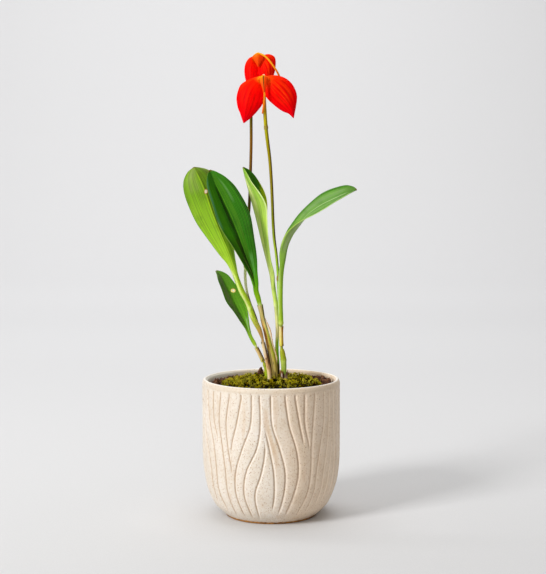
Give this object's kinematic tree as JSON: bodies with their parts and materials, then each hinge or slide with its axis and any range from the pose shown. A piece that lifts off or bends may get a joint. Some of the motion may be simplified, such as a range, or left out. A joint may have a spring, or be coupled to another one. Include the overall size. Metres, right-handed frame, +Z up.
{
  "type": "potted masdevallia orchid",
  "caption": "Masdevallia orchid with paddle leaves and red three-sepalled flowers on thin stalks, in mossed bark in a round stoneware pot with flowing carved lines.",
  "frame": {"origin": "centre of the pot's flat underside", "axes": "+Z up along the pot's axis, -Y towards the side that the flowers face"},
  "size_m": [0.1499, 0.12, 0.4001],
  "materials": {
    "stoneware": "satin",
    "bark": "matte",
    "moss": "matte",
    "root": "matte",
    "leaf": "satin",
    "sheath": "matte",
    "scape": "satin",
    "ovary": "satin",
    "lateral_sepal": "satin",
    "dorsal_sepal": "satin",
    "column": "satin"
  },
  "bodies": {
    "root": {"pot": "stoneware", "rhizome_roots": "root", "potting_mix": "bark", "moss": "moss", "bark_chip": "bark", "leaf_a": "leaf", "leaf_b": "leaf", "leaf_c": "leaf", "leaf_d": "leaf", "leaf_e": "leaf", "sheath_a": "sheath", "sheath_b": "sheath", "sheath_d": "sheath", "sheath_d_base": "sheath", "sheath_e": "sheath", "scape_front": "scape", "scape_back": "scape", "ovary_front": "ovary", "ovary_back": "ovary", "sepals_front": "lateral_sepal", "sepals_back": "lateral_sepal", "dorsal_sepal_front": "dorsal_sepal", "dorsal_sepal_back": "dorsal_sepal", "column_front": "column", "column_back": "column"}
  },
  "joints": []
}
